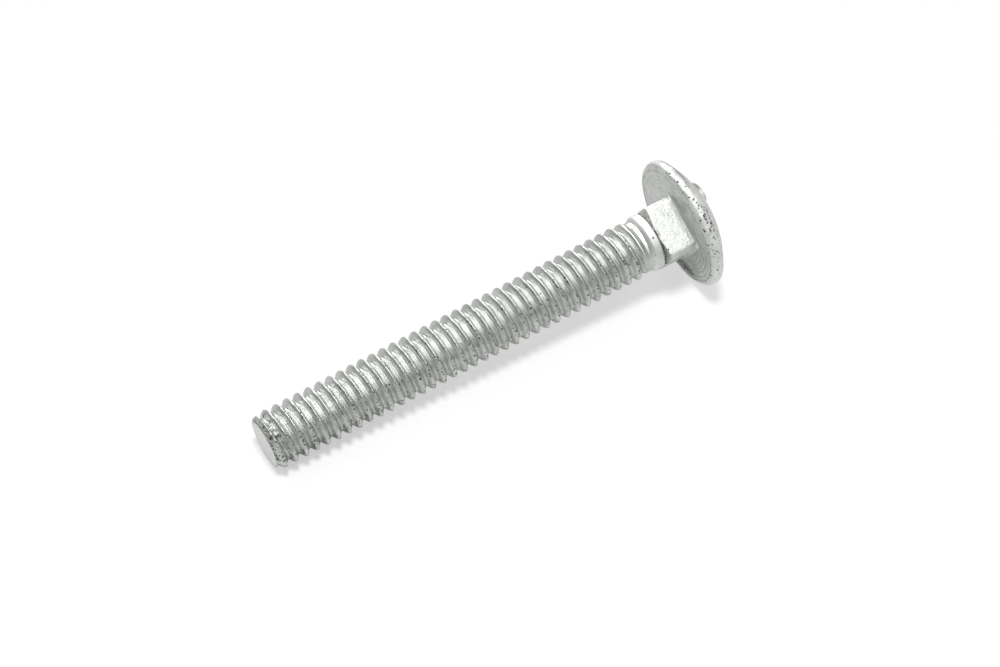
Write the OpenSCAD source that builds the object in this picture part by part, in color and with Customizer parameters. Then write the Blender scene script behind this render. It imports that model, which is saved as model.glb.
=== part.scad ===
// Round-head square-neck carriage bolt, 1/4 in x 2 in, 20 threads per inch, zinc coated.
// Millimetres. The bolt lies at rest on z = 0, tip towards -X, head towards +X.
// Each module is drawn along the bolt's own axis, with the tip face at z = 0.

/* [Shank] */
// Length from the tip face to the underside of the head
shank_len = 50.6; // [30:0.1:90]
// Diameter of the short plain body between thread and neck
body_d = 6.4; // [5.9:0.05:6.6]
// Length of the plain body
body_len = 0.9; // [0.5:0.1:12]
// Length of the cone between the end of the thread and the body
shoulder_len = 0.6; // [0.3:0.05:2]

/* [Thread] */
// Diameter over the thread crests
thread_d = 6.35; // [6:0.01:6.6]
// Distance from one crest to the next
pitch = 1.27; // [1:0.01:1.6]
// Depth from crest to root, measured along the radius
thread_depth = 0.72; // [0.3:0.01:0.8]
// Flat of each crest, as a share of the pitch
crest_share = 0.2; // [0.1:0.01:0.35]
// Flat of each root, as a share of the pitch
root_share = 0.18; // [0.1:0.01:0.35]
// Length over which crest and root run together at the thread's end
runout_len = 1.5; // [1:0.1:5]
// Turn of the thread's start about the axis, in degrees
thread_turn = 65; // [0:1:359]

/* [Tip] */
// Diameter of the flat end face
tip_d = 5.4; // [4.8:0.05:5.8]
// Length of the chamfer behind the end face
tip_chamfer = 0.6; // [0.3:0.05:1.5]

/* [Square neck] */
// Width across the flats of the neck
neck_w = 6.3; // [6:0.05:7]
// Length of the neck along the axis
neck_len = 3.4; // [2:0.05:6]
// Radius of the neck's four long edges
neck_corner_r = 0.7; // [0.3:0.05:1.5]
// Length of the bevel where the neck leaves the body
neck_bevel = 0.35; // [0.2:0.05:1]
// Depth of the crease between body and neck
crease_d = 0.15; // [0.05:0.05:0.3]
// Fillet between the neck and the bearing face
neck_fillet = 0.3; // [0.1:0.05:0.6]
// Turn of the neck about the axis, in degrees
neck_turn = 30; // [0:1:89]

/* [Head] */
// Diameter over the rim
head_d = 14.7; // [13:0.1:18]
// Height from the bearing face to the top of the dome
head_h = 3.55; // [2.6:0.05:5]
// Thickness of the rounded rim
rim_t = 1.4; // [0.8:0.05:1.6]

/* [Raised pad] */
// Diameter of the plain raised pad on the dome
pad_d = 2.4; // [1.5:0.1:3.5]
// Height of the pad above the dome
pad_h = 0.45; // [0.2:0.05:0.8]
// Distance of the pad from the axis
pad_offset = 2.3; // [0:0.1:5]
// Turn of the pad about the axis, in degrees
pad_turn = 149; // [0:1:359]

/* [Hidden] */
$fn = 96;
THREAD_COLS = 32;
RIM_FACETS = 80;
CREASE_W = 0.1;
EPS = 0.01;

thread_r = thread_d / 2;
body_r = body_d / 2;
tip_r = tip_d / 2;
neck_z = shank_len - neck_len;
body_z = neck_z - body_len;
thread_end = body_z - shoulder_len;
// Radius at which crest and root meet at the end of the thread
end_r = thread_r - thread_depth / 2;

// Thread rows: two for each crest flat and two for each root flat, as shares of a pitch.
ROWS = 4;
row_at = [-crest_share / 2, crest_share / 2, 0.5 - root_share / 2, 0.5 + root_share / 2];
row_cut = [0, 0, 1, 1];
row_max = ROWS * (ceil(thread_end / pitch) + 2);
row_gap = pitch * min(crest_share, root_share) / 3;

function wrap(k) = (k % ROWS + ROWS) % ROWS;
function row_z(i, k) =
    pitch * (floor(k / ROWS) + row_at[wrap(k)] + (i + 0.5) / THREAD_COLS - thread_turn / 360);
function ramp(v) = min(1, max(0, v));

// Radius of the bar that the crests touch: chamfered at the tip, reduced at the run-out.
function crest_r(z) =
    min(thread_r - (thread_r - end_r) * ramp(1 - (thread_end - z) / runout_len),
        tip_r + (thread_r - tip_r) * z / tip_chamfer);
// Share of the full groove depth: it starts at the tip face and fades out at the run-out.
function groove(z) = ramp(z / pitch) * ramp((thread_end - z) / runout_len);
function row_r(i, k) =
    let (z = row_z(i, k)) crest_r(z) - row_cut[wrap(k)] * thread_depth * groove(z);

// A point of column i. The columns straddle the lowest line, so that the thread lies on a flat.
function ring_pt(i, r, z) =
    let (a = 360 * (i + 0.5) / THREAD_COLS) [r * cos(a), r * sin(a), z];
function rows_in(i) = [for (k = [-ROWS : row_max])
    if (row_z(i, k) > row_gap && row_z(i, k) < thread_end - row_gap) k];

// The thread: columns of points round the axis, joined along the helix, capped at both ends.
module thread() {
    rows = [for (i = [0 : THREAD_COLS - 1]) rows_in(i)];
    first = [for (i = [0 : THREAD_COLS]) i < THREAD_COLS ? rows[i][0] : rows[0][0] - ROWS];
    last = [for (i = [0 : THREAD_COLS])
        i < THREAD_COLS ? rows[i][len(rows[i]) - 1] : rows[0][len(rows[0]) - 1] - ROWS];
    start = [for (i = 0, a = 0; i < THREAD_COLS; a = a + len(rows[i]) + 2, i = i + 1) a];
    pts = [for (i = [0 : THREAD_COLS - 1])
        each concat([ring_pt(i, tip_r, 0)],
                    [for (k = rows[i]) ring_pt(i, row_r(i, k), row_z(i, k))],
                    [ring_pt(i, crest_r(thread_end), thread_end)])];

    function low(i) = start[i % THREAD_COLS];
    function high(i) = let (j = i % THREAD_COLS) start[j] + len(rows[j]) + 1;
    function at(i, k) = start[i % THREAD_COLS] + 1 + k - first[i];
    function strip(a, b) = concat(
        [[low(a), at(b, first[b]), low(b)], [low(a), at(a, first[a]), at(b, first[a])]],
        [for (k = [first[b] : 1 : first[a] - 1]) [low(a), at(b, k + 1), at(b, k)]],
        [for (k = [first[a] : 1 : last[b] - 1])
            each [[at(a, k), at(b, k + 1), at(b, k)], [at(a, k), at(a, k + 1), at(b, k + 1)]]],
        [for (k = [last[b] : 1 : last[a] - 1]) [at(a, k), at(a, k + 1), high(b)]],
        [[at(a, last[b]), high(b), at(b, last[b])], [at(a, last[a]), high(a), high(b)]]);

    polyhedron(pts, concat(
        [for (i = [0 : THREAD_COLS - 1]) each strip(i, i + 1)],
        [[for (i = [0 : THREAD_COLS - 1]) low(i)]],
        [[for (i = [THREAD_COLS - 1 : -1 : 0]) high(i)]]), convexity = 6);
}

// Plain body: a cone out of the thread's end, the cylinder, and one side of the crease at the neck.
module body() {
    seat = shoulder_len / 6;
    crease_r = body_r - crease_d;
    translate([0, 0, thread_end - seat])
        cylinder(r1 = end_r - seat, r2 = body_r, h = shoulder_len + seat);
    translate([0, 0, body_z]) cylinder(r = body_r, h = body_len - crease_d - CREASE_W);
    translate([0, 0, neck_z - CREASE_W - crease_d])
        cylinder(r1 = body_r, r2 = crease_r, h = crease_d);
    translate([0, 0, neck_z - CREASE_W - crease_d / 2])
        cylinder(r = crease_r - 2 * EPS, h = CREASE_W + neck_bevel);
}

module neck_outline() {
    core = neck_w - 2 * neck_corner_r;
    square([neck_w, core], center = true);
    square([core, neck_w], center = true);
    for (x = [-1, 1], y = [-1, 1])
        translate([x * core / 2, y * core / 2]) circle(r = neck_corner_r);
}

module fillet_profile() {
    difference() {
        translate([-EPS, -neck_fillet]) square([neck_fillet + EPS, neck_fillet + EPS]);
        translate([neck_fillet, -neck_fillet]) circle(r = neck_fillet);
    }
}

module neck() {
    core = neck_w - 2 * neck_corner_r;
    reach = neck_w * 0.71;
    translate([0, 0, neck_z]) rotate([0, 0, neck_turn]) {
        intersection() {
            linear_extrude(height = neck_len + EPS) neck_outline();
            union() {
                cylinder(r1 = body_r - crease_d, r2 = reach, h = neck_bevel);
                translate([0, 0, neck_bevel]) cylinder(r = reach, h = neck_len);
            }
        }
        for (a = [0 : 90 : 270]) rotate([0, 0, a]) translate([0, 0, neck_len]) {
            translate([neck_w / 2, core / 2, 0]) rotate([90, 0, 0])
                linear_extrude(height = core) fillet_profile();
            translate([core / 2, core / 2, 0]) rotate_extrude(angle = 90)
                translate([neck_corner_r, 0]) fillet_profile();
        }
    }
}

rim_r = rim_t / 2;
rim_c = head_d / 2 - rim_r;
rim_z = shank_len + rim_r;
// The dome is a sphere through the top of the head that touches the rim's round smoothly.
rise = head_h - rim_r;
dome_r = (rim_c * rim_c + rise * rise - rim_r * rim_r) / (2 * (rise - rim_r));
dome_z = shank_len + head_h - dome_r;
dome_lean = asin(rim_c / (dome_r - rim_r));

module head() {
    // Half a facet of turn, so that the lying bolt rests on a flat of the rim's mesh.
    translate([0, 0, shank_len]) rotate([0, 0, 180 + 180 / RIM_FACETS]) rotate_extrude() {
        translate([rim_c, rim_r]) circle(r = rim_r);
        square([rim_c, rim_r + rim_r * cos(dome_lean)]);
        intersection() {
            translate([0, head_h - dome_r]) circle(r = dome_r);
            translate([0, rim_r]) square([rim_c + rim_r * sin(dome_lean), head_h]);
        }
    }
}

module pad() {
    pad_lean = asin(pad_offset / dome_r);
    edge = pad_h * 0.6;
    translate([0, 0, dome_z]) rotate([0, pad_lean, pad_turn]) translate([0, 0, dome_r - pad_h])
        rotate_extrude() {
            square([pad_d / 2, 2 * pad_h - edge]);
            square([pad_d / 2 - edge, 2 * pad_h]);
            translate([pad_d / 2 - edge, 2 * pad_h - edge]) circle(r = edge);
        }
}

module bolt_upright() {
    thread();
    body();
    neck();
    head();
    pad();
}

// Lying pose: the lowest point of the rim and the first crest at the tip both touch z = 0.
crest_z = pitch * (ceil(thread_turn / 360 + tip_chamfer / pitch) - thread_turn / 360);
span = rim_z - crest_z;
crest_low = thread_r * cos(180 / THREAD_COLS);
drop = rim_c - crest_low;
lie = atan(drop / span) + asin(rim_r / sqrt(span * span + drop * drop));
lift = rim_c * cos(lie) + rim_r - rim_z * sin(lie);
mid_x = (dome_z * cos(lie) + dome_r - tip_r * sin(lie)) / 2;

module bolt() {
    color([0.74, 0.75, 0.74])
        translate([-mid_x, 0, lift]) rotate([0, 90 - lie, 0]) bolt_upright();
}

bolt();
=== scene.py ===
"""Hot-dip galvanised carriage bolt lying on a white table.

The solid of the frame gives the place and the box. Here the bolt gets its skin: a rounded rolled
thread, a lumpy zinc coat, turned rings under the head, and a galvanised finish. Lengths are in mm
until a piece is laid down, then in metres.
"""
import math

import bpy
import numpy as np
from mathutils import Matrix, Vector


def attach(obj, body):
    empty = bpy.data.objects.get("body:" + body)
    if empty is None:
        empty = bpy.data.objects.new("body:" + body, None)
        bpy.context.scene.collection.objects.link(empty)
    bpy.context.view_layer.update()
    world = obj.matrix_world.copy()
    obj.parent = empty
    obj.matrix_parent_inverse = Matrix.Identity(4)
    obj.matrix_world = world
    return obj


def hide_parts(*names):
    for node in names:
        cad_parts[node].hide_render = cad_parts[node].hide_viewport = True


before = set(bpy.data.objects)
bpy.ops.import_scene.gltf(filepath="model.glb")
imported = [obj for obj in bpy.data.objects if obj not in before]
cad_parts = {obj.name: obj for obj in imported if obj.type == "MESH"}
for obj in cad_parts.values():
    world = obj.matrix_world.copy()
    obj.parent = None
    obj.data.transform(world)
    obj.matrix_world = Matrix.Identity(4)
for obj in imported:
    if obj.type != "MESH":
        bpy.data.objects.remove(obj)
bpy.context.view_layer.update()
MM = 0.001
FULL_TURN = 2 * math.pi

# ---------------------------------------------------------------- sizes of the bolt, mm
SHANK_LEN = 50.6
BODY_R, BODY_LEN, SHOULDER_LEN = 3.2, 0.9, 0.6
THREAD_R, THREAD_DEPTH, PITCH, RUNOUT_LEN = 3.175, 0.62, 1.27, 1.5
THREAD_TURN = 65 / 360
TIP_R, TIP_CHAMFER, TIP_EDGE = 2.7, 0.6, 0.12
NECK_W, NECK_LEN, NECK_CORNER_R = 6.3, 3.4, 0.7
NECK_BEVEL, NECK_FILLET, NECK_TURN = 0.35, 0.3, math.radians(30)
CREASE_D, CREASE_REACH = 0.15, 0.22
HEAD_R, HEAD_H, RIM_R = 7.35, 3.55, 0.7
PAD_R, PAD_H, PAD_SLOPE = 1.3, 0.55, 0.8
PAD_OFFSET, PAD_TURN = 2.3, math.radians(149)
# steps of the two sets of turned rings under the head
RING_STEP, FINE_RING_STEP = 0.47, 0.31

# One pitch of the thread form: (share of the pitch towards the head, drop below the crest). The coat
# has filled the roots and made the tip side of each crest full, so the ridge leans towards the head.
THREAD_FORM = np.array([
    (0.1, 0), (0.135, 0.022), (0.175, 0.08), (0.22, 0.18), (0.27, 0.305), (0.33, 0.44),
    (0.395, 0.545), (0.46, 0.602), (0.525, 0.62), (0.58, 0.602), (0.635, 0.535), (0.69, 0.44),
    (0.755, 0.33), (0.82, 0.222), (0.89, 0.13), (0.96, 0.06), (1.02, 0.022), (1.06, 0.004)])

NECK_Z = SHANK_LEN - NECK_LEN
THREAD_END = NECK_Z - BODY_LEN - SHOULDER_LEN
END_R = THREAD_R - THREAD_DEPTH / 2
RIM_C = HEAD_R - RIM_R
RISE = HEAD_H - RIM_R
DOME_R = (RIM_C**2 + RISE**2 - RIM_R**2) / (2 * (RISE - RIM_R))
DOME_Z = SHANK_LEN + HEAD_H - DOME_R

# The lying pose: the rim and the first full crest touch the table. The solid's thread has 32 sides and
# lies on one of them.
SOLID_SIDES = 32
CREST_Z = PITCH * (math.ceil(THREAD_TURN + TIP_CHAMFER / PITCH) - THREAD_TURN)
SPAN = SHANK_LEN + RIM_R - CREST_Z
DROP = RIM_C - THREAD_R * math.cos(math.pi / SOLID_SIDES)
LIE = math.atan2(DROP, SPAN) + math.asin(RIM_R / math.hypot(SPAN, DROP))

# Points round each skin, and rows along one pitch of the thread
SHANK_COLS, NECK_COLS, HEAD_COLS = 112, 256, 224
ROWS_PER_PITCH = 22

# Where marks lie about the axis, in degrees: 0 faces the table, 180 is the top and 270 the front
# at 318 painted shade darkens the lower roots, at 345 painted shade and dirt darken the underside
PITTED_SIDE, SMOOTH_SIDE, SHADED_ROOT_SIDE, BURRED_SIDE = 278, 120, 318, 235
SCAR_SIDE, ROUGH_RIM_SIDE, BLOT_AND_SHADE_SIDE = 224, 285, 345


# ---------------------------------------------------------------- shapes
def ease(x):
    """0 below 0, 1 above 1, and 3x^2 - 2x^3 between them."""
    x = np.clip(x, 0, 1)
    return x * x * (3 - 2 * x)


def band(x, centre, width, fill=1):
    """1 near the centre, eased down to 0 at fill * width from it. More fill widens the full part."""
    return ease(fill - np.abs(x - centre) / width)


def lesser(a, b, soft):
    """The lesser of a and b, rounded where they cross: (a + b - sqrt((a - b)^2 + soft^2)) / 2."""
    return (a + b - np.sqrt((a - b) ** 2 + soft**2)) / 2


def facing(turn, side):
    """Cosine of the turn counted from a side in degrees: 1 on that side, -1 opposite."""
    return np.cos(turn - math.radians(side))


def swing(turn, side):
    """The turn counted from a side in degrees, as radians from -pi to pi."""
    return (turn - math.radians(side) + math.pi) % FULL_TURN - math.pi


def scramble(cell, seed):
    """Whole-number lattice points mixed into numbers from 0 to 1, the same in every run."""
    n = cell[..., 0] * 73856093 ^ cell[..., 1] * 19349663 ^ cell[..., 2] * 83492791 ^ seed * 15485863
    n &= 0xFFFFFFFF
    for _ in range(2):
        n = ((n >> 16) ^ n) * 0x45D9F3B & 0xFFFFFFFF
    return ((n >> 16) ^ n) / 0xFFFFFFFF


def lumps(points, size, seed):
    """Smooth noise from -1 to 1: random values at lattice corners `size` mm apart, blended with eased
    weights."""
    q = points / size
    cell = np.floor(q).astype(np.int64)
    w = ease(q - cell)
    total = 0
    for corner in np.ndindex(2, 2, 2):
        weight = np.prod(np.where(np.array(corner) == 1, w, 1 - w), axis=-1)
        total = total + weight * scramble(cell + corner, seed)
    return 2 * total - 1


def grains(points, size, share, seed):
    """Round grains or pits from 0 to 1: one centre in each lattice cell of `size` mm, `share` of them
    kept, each (1 - d^2 / r^2)^2 with r of 0.35 to 0.8 cells."""
    q = points / size
    cell = np.floor(q).astype(np.int64)
    best = np.zeros(points.shape[:-1])
    for step in np.ndindex(3, 3, 3):
        c = cell + np.array(step) - 1
        centre = c + np.stack([scramble(c, seed + k) for k in (1, 2, 3)], -1)
        radius = 0.35 + 0.45 * scramble(c, seed + 4)
        near = 1 - ((q - centre) ** 2).sum(-1) / radius**2
        best = np.maximum(best, np.where(scramble(c, seed + 5) < share, np.clip(near, 0, 1) ** 2, 0))
    return best


def lay_down(p):
    """The upright bolt (axis +z, tip face at z = 0) tipped about y until its axis rises by LIE
    along +x."""
    c, s = math.cos(LIE), math.sin(LIE)
    x = p[..., 2] * c + p[..., 0] * s - (DOME_Z * c + DOME_R - TIP_R * s) / 2
    z = p[..., 2] * s - p[..., 0] * c + RIM_C * c + RIM_R - (SHANK_LEN + RIM_R) * s
    return np.stack([x, p[..., 1], z], -1) * MM


def skin(name, rings, marks):
    """A closed skin from rings of points: row after row along the profile, columns round the axis. The
    first and last ring shrink to one point each, so both ends are closed. Each of the marks gives one
    number for each point and becomes an attribute that the finish reads."""
    rows, cols = rings.shape[:2]
    points = np.concatenate([rings[0, :1], rings[1:-1].reshape(-1, 3), rings[-1, :1]])
    index = 1 + np.arange((rows - 2) * cols).reshape(rows - 2, cols)
    right = np.roll(index, -1, axis=1)
    quads = np.stack([index[:-1], right[:-1], right[1:], index[1:]], -1).reshape(-1, 4)
    first = np.stack([np.zeros(cols, int), right[0], index[0]], -1)
    last = np.stack([np.full(cols, len(points) - 1), index[-1], right[-1]], -1)
    corners = np.concatenate([quads.ravel(), first.ravel(), last.ravel()])
    sizes = np.concatenate([np.full(len(quads), 4), np.full(2 * cols, 3)])
    mesh = bpy.data.meshes.new(name)
    mesh.vertices.add(len(points))
    mesh.vertices.foreach_set("co", lay_down(points).astype(np.float32).ravel())
    mesh.loops.add(len(corners))
    mesh.loops.foreach_set("vertex_index", corners.astype(np.int32))
    mesh.polygons.add(len(sizes))
    mesh.polygons.foreach_set("loop_start", (np.cumsum(sizes) - sizes).astype(np.int32))
    mesh.polygons.foreach_set("use_smooth", np.ones(len(sizes), bool))
    for key, values in marks.items():
        values = np.concatenate([values[0, :1], values[1:-1].ravel(), values[-1, :1]])
        mesh.attributes.new(key, "FLOAT", "POINT").data.foreach_set("value", values.astype(np.float32))
    mesh.update(calc_edges=True)
    mesh.validate()
    piece = bpy.data.objects.new(name, mesh)
    bpy.context.scene.collection.objects.link(piece)
    return piece


def turned(path, cols):
    """A profile of (radius, height) points carried round the axis. Returns the rings and the outward
    normals, which are the profile's steps turned by a right angle."""
    turn = np.arange(cols) * FULL_TURN / cols
    around = np.stack([np.cos(turn), np.sin(turn)], -1)
    step = np.gradient(path, axis=0)
    step /= np.maximum(np.hypot(step[:, 0], step[:, 1]), 1e-9)[:, None]
    rings = np.empty((len(path), cols, 3))
    normals = np.empty_like(rings)
    rings[..., :2] = path[:, None, :1] * around
    rings[..., 2] = path[:, 1:]
    normals[..., :2] = step[:, None, 1:] * around
    normals[..., 2] = -step[:, :1]
    return rings, normals


def line(a, b, count):
    """count points from a to b, the last one left out."""
    return np.linspace(a, b, count, endpoint=False)


def arc(centre, radius, start, end, count):
    """count points on an arc about centre, angles in degrees from +radius towards +height, the last
    one left out."""
    t = np.radians(line(start, end, count))
    return np.stack([centre[0] + radius * np.cos(t), centre[1] + radius * np.sin(t)], -1)


def thread_drop(u):
    """How far the thread lies below its ridge, u pitches along the axis from the crest line:
    THREAD_FORM joined by straight lines and rounded by a bell-shaped mean, exp(-x^2 / 2w^2), whose w is
    a small share of the pitch."""
    samples, reach, w = 400, 30, 0.022
    fine = np.arange(samples) / samples
    form = np.tile(np.interp(fine, THREAD_FORM[:, 0], THREAD_FORM[:, 1], period=1), 3)
    bell = np.exp(-0.5 * (np.arange(-reach, reach + 1) / samples / w) ** 2)
    form = np.convolve(form, bell / bell.sum(), "same")[samples:2 * samples]
    return np.interp(u, fine, form - form.min(), period=1)


def make_shank():
    """Tip face, thread, shoulder and body. A straight bar turned round the axis, cut by the helix: the
    depth at a point is thread_drop of its place in the pitch, height / PITCH - turn + THREAD_TURN. The
    tip's chamfer is a cone, and the radius is the lesser of cone and thread. The coat stands along the
    normals, in lumps that are largest on the crests and at the tip."""
    tuck, crest_round = 0.25, 0.06
    side_z = np.linspace(TIP_EDGE, NECK_Z + tuck, int(ROWS_PER_PITCH * NECK_Z / PITCH))
    face = line((0, 0), (TIP_R - TIP_EDGE, 0), 14)
    bend = arc((TIP_R - TIP_EDGE, TIP_EDGE), TIP_EDGE, -90, 0, 5)
    side = np.stack([np.full_like(side_z, TIP_R), side_z], -1)
    rings, normals = turned(np.concatenate([face, bend, side, [(0, side_z[-1])]]), SHANK_COLS)
    share = np.arange(SHANK_COLS) / SHANK_COLS
    turn = FULL_TURN * share
    z = side_z[:, None]
    fade = ease((THREAD_END - z) / RUNOUT_LEN)
    thread = END_R + fade * (THREAD_R - END_R) - thread_drop(z / PITCH - share + THREAD_TURN) * fade
    cone = TIP_R + (THREAD_R - TIP_R) * z / TIP_CHAMFER
    radius = lesser(thread, cone, crest_round)
    radius = radius + (BODY_R - END_R) * ease((z - THREAD_END) / SHOULDER_LEN)
    radius = radius - CREASE_D * band(z, NECK_Z, CREASE_REACH)
    around = np.stack([np.cos(turn), np.sin(turn)], -1)
    rings[len(face) + len(bend):-1, :, :2] = radius[..., None] * around

    # height is a view of the rings, so it follows them as the coat goes on
    height = rings[..., 2]
    near_tip = ease(1 - height / 1.6)
    radial = np.hypot(rings[..., 0], rings[..., 1])
    crest = ease((radial - THREAD_R + 0.16) / 0.1) * (height < THREAD_END)
    coat = 0.006 * lumps(rings, 1.2, 1) + (0.002 + 0.02 * near_tip) * lumps(rings, 0.4, 2)
    coat = coat + 0.02 * crest * lumps(rings, 0.3, 5)
    coat = coat + 0.05 * near_tip * grains(rings, 0.6, 0.5, 7) * (height > 0.05)
    coat[-1] = 0
    rings += coat[..., None] * normals

    # pits crowd along the crests, most in clusters on the lower front, and round the tip
    off_face = height > 0.05
    front = ease(0.55 + 0.9 * facing(turn, PITTED_SIDE))
    cluster = ease(0.5 + 1.2 * lumps(rings, 2.2, 3))
    speck = 0.01 + 0.12 * crest + front * (0.05 + 0.75 * crest) * (0.4 + 0.6 * cluster)
    speck = speck + 0.5 * near_tip * off_face

    # darkened: painted shade in the lower roots and on the flank beside them, both more towards the
    # tip, painted shade in the crease at the neck, the burrs behind the tip face, and a dark ring round
    # the edge of that face
    on_thread = (height > 0.9) * (height < THREAD_END)
    under = ease(facing(turn, SHADED_ROOT_SIDE) * 2 - 0.9)
    root = ease((THREAD_R - 0.3 - radial) / 0.2) * on_thread
    soil_and_shade = root * under * (0.35 + 0.65 * ease(1.4 - height / 11))
    flank = band((height / PITCH - share + THREAD_TURN) % 1, 0.77, 0.11, 1.5) * on_thread
    flank = flank * band(share, 0.79, 0.04, 2) * (0.3 + 0.7 * ease(1.5 - height / 13))
    crease = 0.95 * band(height, NECK_Z - 0.02, 0.2, 1.15)
    burr = ease(1.7 * grains(rings, 0.6, 0.6, 6)) * ease(0.9 + facing(turn, BURRED_SIDE))
    burr = burr * ease(1.8 - height / 1.3) * off_face
    face_edge = band(np.hypot(radial - TIP_R, height), 0, 0.14, 1.5)
    face_edge = face_edge * (0.7 + 0.5 * lumps(rings, 0.7, 4))
    soil_and_shade = np.clip(np.maximum.reduce([soil_and_shade, flank, crease, burr, face_edge]), 0, 1)

    # the plain body is dull, the tip face is pale but smooth, its bloom partly a painted reflection
    # that lightens it, and the thread is smooth on top
    matt = 0.4 * near_tip * (height > 0.02) + 0.9 * ease((height - THREAD_END) / 0.4)
    pale = (height < 0.03) * (1.0 + 0.3 * lumps(rings, 0.5, 8))
    low = ease(0.1 - 1.5 * facing(turn, SMOOTH_SIDE))
    grit = 0.03 + 0.3 * crest + low * (0.5 + 1.3 * crest) + near_tip + 0.3 * (height > THREAD_END)
    marks = {"speck": speck, "soil_and_shade": soil_and_shade, "matt": matt, "pale": pale, "grit": grit}
    return skin("threaded_shank", rings, marks)


def make_neck():
    """Square neck: at each height a rounded square, r = half width / cos of the turn from the face, and
    the corner circle near the corners. At the body end the radius is the lesser of that and a cone, and
    under the head a quarter round of NECK_FILLET flares it."""
    turn = np.arange(NECK_COLS) * FULL_TURN / NECK_COLS
    from_face = (turn - NECK_TURN + math.pi / 4) % (math.pi / 2) - math.pi / 4
    half = NECK_W / 2
    lean = math.pi / 4 - np.abs(from_face)
    reach = (half - NECK_CORNER_R) * math.sqrt(2)
    flat = half / np.cos(from_face)
    corner = np.sqrt(np.maximum(NECK_CORNER_R**2 - (reach * np.sin(lean)) ** 2, 0))
    corner = reach * np.cos(lean) + corner
    on_face = half * np.tan(np.abs(from_face)) < half - NECK_CORNER_R
    square = np.where(on_face, flat, corner)
    top = NECK_Z + NECK_LEN
    bevel_top, fillet_foot = NECK_Z + NECK_BEVEL, top - NECK_FILLET
    z = np.concatenate([line(NECK_Z - 0.06, bevel_top, 14), line(bevel_top, fillet_foot, 44),
                        np.linspace(fillet_foot, top, 12)])
    cone = BODY_R - CREASE_D - 0.05 + (z - z[0]) * (half * 1.42 - BODY_R + CREASE_D) / NECK_BEVEL
    radius = lesser(square, cone[:, None], 0.08)
    rise = np.clip(z - top + NECK_FILLET, 0, NECK_FILLET)[:, None]
    radius = radius + NECK_FILLET - np.sqrt(np.maximum(NECK_FILLET**2 - rise**2, 0))
    around = np.stack([np.cos(turn), np.sin(turn)], -1)
    level = np.broadcast_to(z[:, None, None], radius.shape + (1,))
    rings = np.concatenate([radius[..., None] * around, level], -1)
    coat = 0.02 * lumps(rings, 1.3, 11) + 0.01 * lumps(rings, 0.5, 12)
    rings[..., :2] += coat[..., None] * around

    # both ends are closed inside the body and the head
    sunk = 0.3
    foot = np.zeros((1, NECK_COLS, 3)) + (0, 0, NECK_Z - 0.02)
    inside = rings[-1:] * (0.9, 0.9, 1) + (0, 0, sunk)
    end = np.zeros((1, NECK_COLS, 3)) + (0, 0, top + sunk)
    rings = np.concatenate([foot, rings, inside, end])

    # frosty all over in patches, with pits, and painted shade in the crease at the foot
    above = rings[..., 2] - NECK_Z
    speck = 0.25 * ease(1.1 - above / 0.6) * ease(0.5 + lumps(rings, 1.2, 13))
    soil_and_shade = ease(1 - above / 0.3) * (0.6 + 0.4 * lumps(rings, 0.8, 14))
    matt = 0.68 + 0.5 * lumps(rings, 0.5, 15) - 0.3 * grains(rings, 0.6, 0.5, 16)
    grit = np.full_like(matt, 0.55)
    return skin("square_neck", rings, {"speck": speck, "soil_and_shade": soil_and_shade, "matt": matt, "grit": grit})


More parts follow.
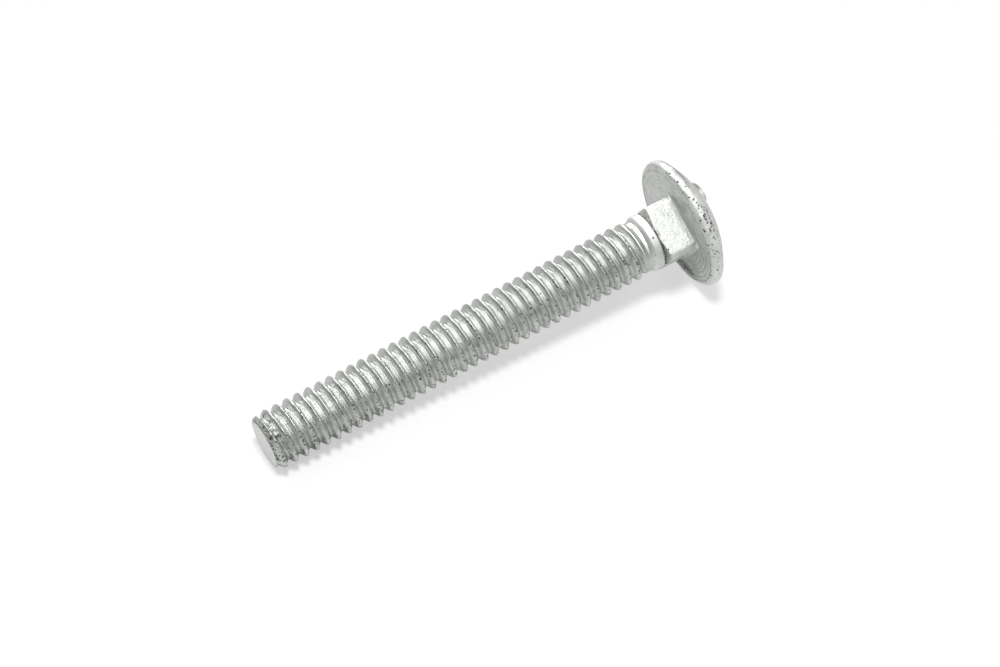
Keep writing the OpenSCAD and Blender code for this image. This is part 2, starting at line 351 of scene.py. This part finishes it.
def make_head():
    """Round head: a flat underside, a round rim and a shallow dome, turned round the axis. The rim is a
    half circle whose cosine and sine are raised to powers below 1, which squares it a little. The
    turned rings are two sine waves along the radius. The pad is a rounded step of PAD_H on the dome, by
    distance from its centre. The coat and all these stand along the normals."""
    lean = math.degrees(math.asin(RIM_C / (DOME_R - RIM_R)))
    under = line((0, SHANK_LEN + 0.1), (NECK_W * 0.45, SHANK_LEN), 4)
    face = line((NECK_W * 0.45, SHANK_LEN), (RIM_C, SHANK_LEN), 66)
    rim = arc((0, 0), 1, -90, 90 - lean, 30)
    rim = (RIM_C, SHANK_LEN + RIM_R) + RIM_R * np.sign(rim) * np.abs(rim) ** (0.72, 0.9)
    dome = arc((0, DOME_Z), DOME_R, 90 - lean, 90, 84)
    path = np.concatenate([under, face, rim, dome, [(0, SHANK_LEN + HEAD_H)]])
    rings, normals = turned(path, HEAD_COLS)
    normals[-1] = (0, 0, 1)

    pad_lean = math.asin(PAD_OFFSET / DOME_R)
    pad_axis = np.array([math.sin(pad_lean) * math.cos(PAD_TURN),
                         math.sin(pad_lean) * math.sin(PAD_TURN), math.cos(pad_lean)])
    away = np.linalg.norm(rings - (np.array([0, 0, DOME_Z]) + DOME_R * pad_axis), axis=-1)
    pad = PAD_H * ease((PAD_R - away) / PAD_SLOPE + 0.5)

    # height is a view of the rings, so it follows them as the coat goes on
    height = rings[..., 2]
    on_dome = height > SHANK_LEN + RIM_R * 1.2
    radius = np.hypot(rings[..., 0], rings[..., 1])
    turn = np.arctan2(rings[..., 1], rings[..., 0])
    under_face = ease((radius - 3.2) / 0.3) * ease((RIM_C - 0.1 - radius) / 0.3)
    under_face = (height < SHANK_LEN + 0.02) * under_face
    wave = radius + 0.06 * lumps(rings, 1.6, 23)
    ring = np.sin(FULL_TURN * wave / RING_STEP)
    fine_ring = np.sin(FULL_TURN * wave / FINE_RING_STEP + 1)
    groove = 0.014 * ring + 0.010 * fine_ring
    lip = 0.05 * band(radius, RIM_C + 0.05, 0.16) * (height < SHANK_LEN + 0.1)
    on_rim = ease((radius - RIM_C + 0.25) / 0.2)
    scar = band(swing(turn, SCAR_SIDE), 0, math.radians(20), 1.25)
    coat = 0.02 * lumps(rings, 1.4, 21) + 0.01 * lumps(rings, 0.45, 22)
    coat = coat + 0.03 * on_rim * lumps(rings, 0.5, 24)
    coat = coat - 0.05 * scar * on_rim * grains(rings, 0.5, 0.6, 25)
    offset = groove * under_face + np.where(on_dome, pad, 0) + coat + lip
    offset[0] = 0
    offset[-1] = offset[-1].mean()
    rings += offset[..., None] * normals

    # pits: a dense scar on the rim, more on its lower front, a few elsewhere
    outer = on_rim * (height > SHANK_LEN + RIM_R * 0.9)
    rough_rim = on_rim * ease(0.7 + 1.2 * facing(turn, ROUGH_RIM_SIDE))
    speck = 0.01 + 0.02 * on_rim + scar * outer + 0.4 * rough_rim * ease(0.6 + lumps(rings, 2.0, 26))

    # darkened: painted shade along the rim's edge under the head, a broken dark line where the rim
    # meets the dome, pits in the scar, darker valleys of the turned rings, and a patch on the underside
    # near the table, partly dirt and pits, partly painted shade
    edge_low = band(radius, RIM_C + 0.02, 0.1, 1.3) * (height < SHANK_LEN + RIM_R * 0.6)
    edge_high = band(radius, RIM_C + 0.45, 0.16, 1.2) * (height > SHANK_LEN + RIM_R) * 0.7
    soil_and_shade = (edge_low + edge_high) * (0.55 + 0.6 * lumps(rings, 0.9, 27))
    soil_and_shade = soil_and_shade + scar * outer * ease(2.8 * grains(rings, 0.5, 0.85, 28))
    soil_and_shade = soil_and_shade + 0.16 * ease(-1.2 * (ring + 0.6 * fine_ring) - 0.2) * under_face
    # a dark patch where the underside faces the table: dirt and pits, and painted shade
    patch_r = 6
    blot_and_shade = np.hypot(swing(turn, BLOT_AND_SHADE_SIDE) * patch_r, (radius - patch_r) * 2)
    blot_and_shade = band(blot_and_shade, 0, 1.4, 1.7) * (0.95 + 0.7 * grains(rings, 0.5, 0.7, 30))
    soil_and_shade = np.clip(soil_and_shade + under_face * blot_and_shade, 0, 1)

    matt = 0.35 + 0.3 * lumps(rings, 0.9, 29) + 0.8 * rough_rim
    grit = 0.35 + 0.6 * on_rim
    return skin("round_head", rings, {"speck": speck, "soil_and_shade": soil_and_shade, "matt": matt, "grit": grit})


# ---------------------------------------------------------------- finishes
def srgb(text):
    """An sRGB hex colour as linear numbers for a socket."""
    part = [int(text[i:i + 2], 16) / 255 for i in (1, 3, 5)]
    return tuple(c / 12.92 if c <= 0.04045 else ((c + 0.055) / 1.055) ** 2.4 for c in part) + (1.0,)


def node(tree, kind, links=(), **settings):
    """Adds a node. settings set its properties, or its inputs by name with _ for a space, or by place
    with in and a number; links are (input, output)."""
    made = tree.nodes.new("ShaderNode" + kind)
    for key, value in settings.items():
        if hasattr(made, key):
            setattr(made, key, value)
        elif key[:2] == "in" and key[2:].isdigit():
            made.inputs[int(key[2:])].default_value = value
        else:
            made.inputs[key.replace("_", " ")].default_value = value
    for name, source in links:
        tree.links.new(source, made.inputs[name])
    return made


def galvanised_zinc():
    """Hot-dip galvanised steel: a thick zinc coat drained and cooled in air. It gives the eye a pale,
    faintly green grey metal with a half-dull sheen, cloudy patches about 1 mm wide, a grainy skin, a
    white bloom where it is dull, and dark pits and seams where flux and dross were caught. The same
    dark colour lays painted shade into the lower roots, the creases and the rim's edge. The pieces'
    marks steer it: speck is the share of cells with a pit, the soil-and-shade mark how dark the seams
    and the painted shade are, matt how dull and bloomed the metal is, pale a bloom without the
    dullness, on the tip face partly a painted reflection, and grit how high the grain stands."""
    material = bpy.data.materials.new("galvanised_zinc")
    material.use_nodes = True
    tree = material.node_tree
    tree.nodes.clear()
    place = node(tree, "TexCoord").outputs["Object"]
    speck, soil_and_shade, matt, pale, grit = (
        node(tree, "Attribute", attribute_name=name).outputs["Fac"]
        for name in ("speck", "soil_and_shade", "matt", "pale", "grit"))

    # the metal: clouds 1.1 mm wide between two greys, under a white bloom
    cloud = node(tree, "TexNoise", [("Vector", place)], Scale=1 / 0.0011, Detail=3.0, Roughness=0.6)
    tone = node(tree, "MapRange", [("Value", cloud.outputs[0])], From_Min=0.32, From_Max=0.68)
    grey = node(tree, "Mix", [("Factor", tone.outputs[0])], data_type="RGBA")
    grey.inputs["A"].default_value = srgb("#C3C8C3")
    grey.inputs["B"].default_value = srgb("#E3E4E1")
    bloom = node(tree, "Math", [(0, matt), (2, pale)],
                 operation="MULTIPLY_ADD", use_clamp=True, in1=0.75)
    metal = node(tree, "Mix", [("Factor", bloom.outputs[0]), ("A", grey.outputs["Result"])],
                 data_type="RGBA")
    metal.inputs["B"].default_value = srgb("#F5F7F4")

    # grains of 0.28 mm, coarser than the real 0.1 mm, which would not show
    grain = node(tree, "TexNoise", [("Vector", place)], Scale=1 / 0.00028, Detail=2.0, Roughness=0.6)

    # pits about 0.2 mm wide: a lattice of 0.33 mm cells bent by the grain, with a pit in each cell
    # whose random number is below speck
    bend = node(tree, "VectorMath", [(0, grain.outputs["Color"])], operation="SCALE", Scale=0.0004)
    bent = node(tree, "VectorMath", [(0, place), (1, bend.outputs[0])], operation="ADD")
    cells = node(tree, "TexVoronoi", [("Vector", bent.outputs[0])], Scale=1 / 0.00033)
    pick = node(tree, "SeparateColor", [("Color", cells.outputs["Color"])])
    kept = node(tree, "Math", [(0, pick.outputs[0]), (1, speck)], operation="LESS_THAN")
    hollow = node(tree, "MapRange", [("Value", cells.outputs["Distance"])], From_Min=0.42, From_Max=0.2)
    pit = node(tree, "Math", [(0, kept.outputs[0]), (1, hollow.outputs[0])], operation="MULTIPLY")

    # dark seams and painted shade from the soil-and-shade mark, broken up by the grain
    broken = node(tree, "MapRange", [("Value", grain.outputs[0])],
                  From_Min=0.35, From_Max=0.6, To_Min=0.25)
    seam_and_shade = node(tree, "Math", [(0, soil_and_shade), (1, broken.outputs[0])], operation="MULTIPLY", use_clamp=True)
    dark = node(tree, "Math", [(0, pit.outputs[0]), (1, seam_and_shade.outputs[0])], operation="MAXIMUM")
    colour = node(tree, "Mix", [("Factor", dark.outputs[0]), ("A", metal.outputs["Result"])],
                  data_type="RGBA")
    colour.inputs["B"].default_value = srgb("#4C4F4A")

    # half-dull sheen, duller by 0.25 where matt is 1
    sheen = node(tree, "MapRange", [("Value", grain.outputs[0])],
                 From_Min=0.3, From_Max=0.7, To_Min=0.29, To_Max=0.35)
    rough = node(tree, "Math", [(0, matt), (2, sheen.outputs[0])], operation="MULTIPLY_ADD", in1=0.25)

    # the grain stands up to 0.06 mm high where grit is 1, and the pits are sunk into it
    height = node(tree, "Math", [(0, pit.outputs[0]), (2, grain.outputs[0])],
                  operation="MULTIPLY_ADD", in1=-1.2)
    relief = node(tree, "Bump", [("Height", height.outputs[0]), ("Strength", grit)], Distance=0.00006)
    surface = node(tree, "BsdfPrincipled",
                   [("Base Color", colour.outputs["Result"]), ("Roughness", rough.outputs[0]),
                    ("Normal", relief.outputs[0])], Metallic=1.0)
    node(tree, "OutputMaterial", [("Surface", surface.outputs[0])])
    return material


def white_acrylic():
    """White acrylic sheet: cast and polished, which gives the eye an even white with a faint sheen. A
    glow that only the camera and reflections meet lifts it to white there and keeps the shadow."""
    camera_glow, mirror_glow = 0.43, 0.13
    material = bpy.data.materials.new("white_acrylic")
    material.use_nodes = True
    tree = material.node_tree
    tree.nodes.clear()
    base = node(tree, "BsdfPrincipled", Base_Color=srgb("#E7E7E7"), Roughness=0.22)
    path = node(tree, "LightPath")
    mirrored = node(tree, "Math", [(0, path.outputs["Is Glossy Ray"])],
                    operation="MULTIPLY", in1=mirror_glow)
    glow = node(tree, "Math", [(0, path.outputs["Is Camera Ray"]), (2, mirrored.outputs[0])],
                operation="MULTIPLY_ADD", in1=camera_glow)
    light = node(tree, "Emission", [("Strength", glow.outputs[0])])
    both = node(tree, "AddShader", [(0, base.outputs[0]), (1, light.outputs[0])])
    node(tree, "OutputMaterial", [("Surface", both.outputs[0])])
    return material


zinc = galvanised_zinc()
bolt_pieces = bpy.data.collections.new("bolt_pieces")
for piece in (make_shank(), make_neck(), make_head()):
    bolt_pieces.objects.link(piece)
    piece.data.materials.append(zinc)
    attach(piece, "root")
    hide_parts("bolt")


# ---------------------------------------------------------------- table, light, camera
def make_table():
    """A flat table 3 m square, a hair under the bolt."""
    half, level = 1.5, -0.00002
    corners = [(-half, -half, level), (half, -half, level), (half, half, level), (-half, half, level)]
    mesh = bpy.data.meshes.new("table_top")
    mesh.from_pydata(corners, [], [(0, 1, 2, 3)])
    mesh.materials.append(white_acrylic())
    top = bpy.data.objects.new("table_top", mesh)
    bpy.context.scene.collection.objects.link(top)
    return top


LAMP_DISTANCE = 0.7
# (name, height above the table and turn from +x in degrees, width in metres, watts)
KEY_LAMP = ("key_on_table", 80, 240, 0.15, 2.15)
# one arc of soft light across the bolt, and fills from the front and the head end
BOLT_LAMPS = (("back_low", 14, 74, 0.36, 1.1), ("back_middle", 34, 108, 0.3, 0.6),
              ("back_high", 56, 90, 0.3, 0.72), ("above_back", 78, 90, 0.3, 1.02),
              ("above_front", 78, 270, 0.3, 0.98), ("front_high", 55, 274, 0.26, 0.56),
              ("front_middle", 36, 284, 0.1, 0.12), ("front_low", 20, 284, 0.25, 0.16),
              ("head_end", 12, 0, 0.3, 0.45))


def softbox(name, rise, turn, width, power, lit):
    """A round soft lamp aimed at the bolt. Its light falls only on the collection lit."""
    rise, turn = math.radians(rise), math.radians(turn)
    away = Vector((math.cos(rise) * math.cos(turn), math.cos(rise) * math.sin(turn), math.sin(rise)))
    data = bpy.data.lights.new(name, "AREA")
    data.shape = "DISK"
    data.size = width
    data.energy = power
    lamp = bpy.data.objects.new(name, data)
    bpy.context.scene.collection.objects.link(lamp)
    lamp.location = away * LAMP_DISTANCE
    lamp.rotation_euler = (-away).to_track_quat("-Z", "Y").to_euler()
    lamp.light_linking.receiver_collection = lit


table = bpy.data.collections.new("table")
table.objects.link(make_table())
softbox(*KEY_LAMP, table)
for lamp in BOLT_LAMPS:
    softbox(*lamp, bolt_pieces)

camera_data = bpy.data.cameras.new("camera")
camera_data.sensor_width = 36.0
camera_data.lens = 107.28
camera_data.clip_start = 0.01
camera_data.clip_end = 20.0
camera = bpy.data.objects.new("camera", camera_data)
bpy.context.scene.collection.objects.link(camera)
right = Vector((0.85832, -0.51312, 0.0)).normalized()
forward = Vector((0.31669, 0.52974, -0.78682)).normalized()
stand = Matrix((right, right.cross(forward), -forward)).transposed().to_4x4()
stand.translation = Vector((-98.708, -167.473, 251.788)) * MM
camera.matrix_world = stand
bpy.context.scene.camera = camera

bpy.context.scene.view_settings.view_transform = "Standard"
world = bpy.data.worlds.new("studio")
bpy.context.scene.world = world
world.use_nodes = True
sky = world.node_tree.nodes["Background"]
sky.inputs["Color"].default_value = srgb("#FFFFFF")
sky.inputs["Strength"].default_value = 0.33
